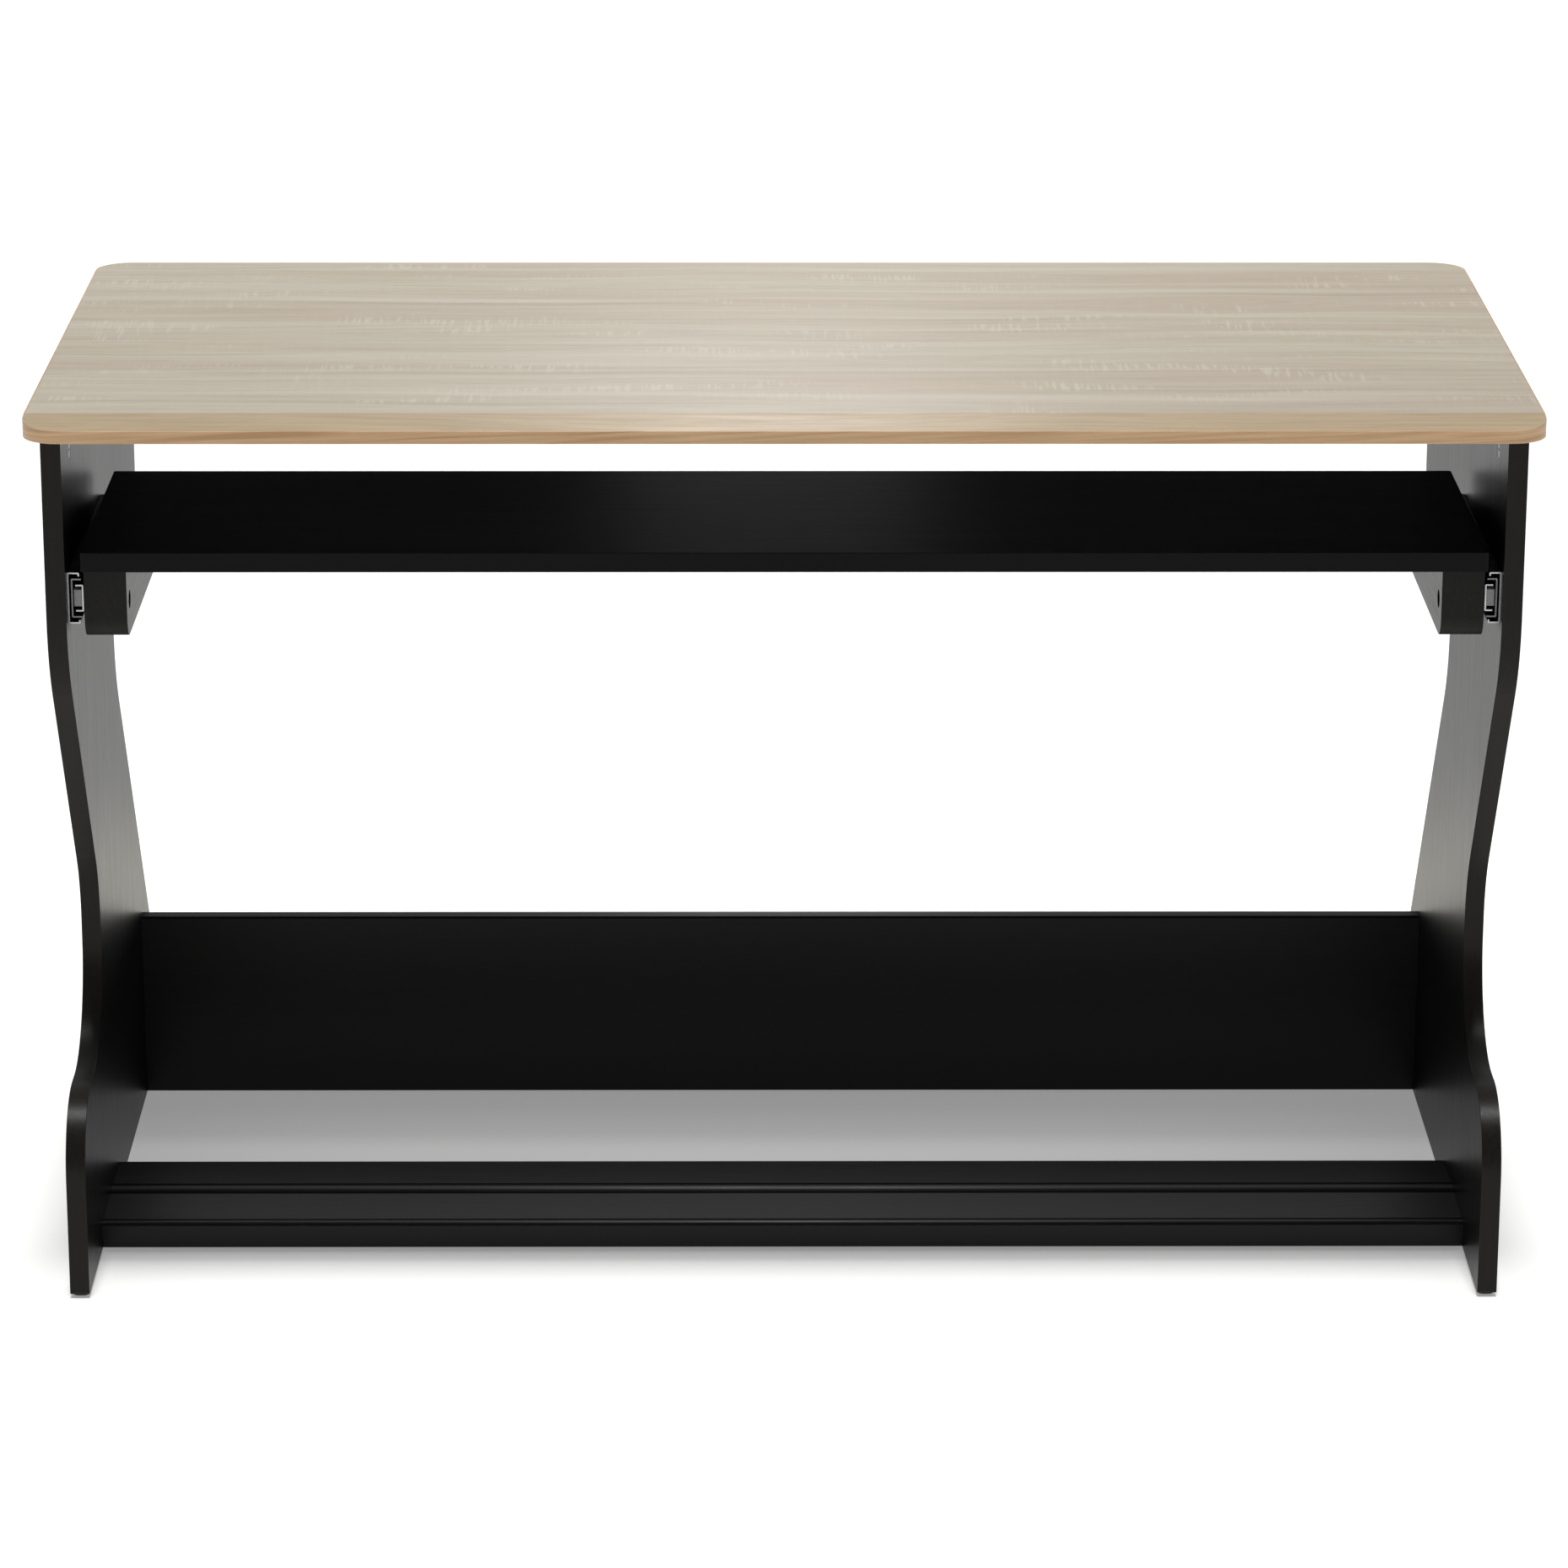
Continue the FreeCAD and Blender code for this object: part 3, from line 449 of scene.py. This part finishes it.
def fitting_materials():
    """Cams, bolts, slides, dowels and plastics."""
    return {
        "beech": beech(),
        "zinc_cam": metal("zinc_cam", (0.45, 0.46, 0.47), 0.45, (300, 300, 300), 0.2),
        # The tray's cam locks are painted near-black and matt, with no reflection: painted shade of their
        # recess.
        "painted_shade_cam": moulded("painted_shade_cam", (0.006, 0.006, 0.006), 0.9, level=0.0),
        "zinc_steel": metal("zinc_steel", (0.62, 0.63, 0.66), 0.28, (300, 300, 300)),
        "rail_steel": metal("rail_steel", (0.52, 0.52, 0.53), 0.30, ROLLED_ALONG_Y),
        "middle_rail_steel": metal("middle_rail_steel", (0.20, 0.20, 0.21), 0.34, ROLLED_ALONG_Y),
        "cage_steel": metal("cage_steel", (0.48, 0.48, 0.50), 0.36, (500, 20, 500)),
        "ball_steel": metal("ball_steel", (0.75, 0.76, 0.78), 0.10, (200, 200, 200), 0.01),
        "grey_plastic": moulded("grey_plastic", (0.32, 0.32, 0.31), 0.45),
        "black_plastic": moulded("black_plastic", (0.02, 0.02, 0.02), 0.5),
    }


# The first ending that fits a node's name gives its finish.
FINISHES = (
    ("desktop_board", "oak_top"),
    ("desktop_edge_band", "oak_edge"),
    ("tray_board", "tray_top"),
    ("tray_edge_band", "tray_band"),
    ("back_panel", "cross_board"),
    ("footrest_board", "cross_board"),
    ("floor_glides", "black_plastic"),
    ("_side_panel", "side_board"),
    ("_panel_edge_band", "panel_band"),
    ("_tray_cleat", "cleat"),
    ("_dowels", "beech"),
    # Painted shade: the tray's cam locks get the near-black matt finish instead of zinc.
    ("tray_cam_locks", "painted_shade_cam"),
    ("_cam_locks", "zinc_cam"),
    ("_cam_bolts", "zinc_steel"),
    ("_screws", "zinc_steel"),
    ("_middle_rail", "middle_rail_steel"),
    ("_rail", "rail_steel"),
    ("_cage", "cage_steel"),
    ("_balls", "ball_steel"),
    ("_front_block", "grey_plastic"),
    ("_rear_stop", "black_plastic"),
)


def finish_of(name):
    return next(finish for ending, finish in FINISHES if name.endswith(ending))


def dress_nodes():
    """Give each CAD node its material."""
    materials = {**board_materials(), **fitting_materials()}
    for name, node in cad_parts.items():
        node.data.materials.clear()
        node.data.materials.append(materials[finish_of(name)])


make_camera()
make_world()
make_floor()
make_lights()
dress_nodes()

bpy.context.scene.view_settings.view_transform = "Standard"
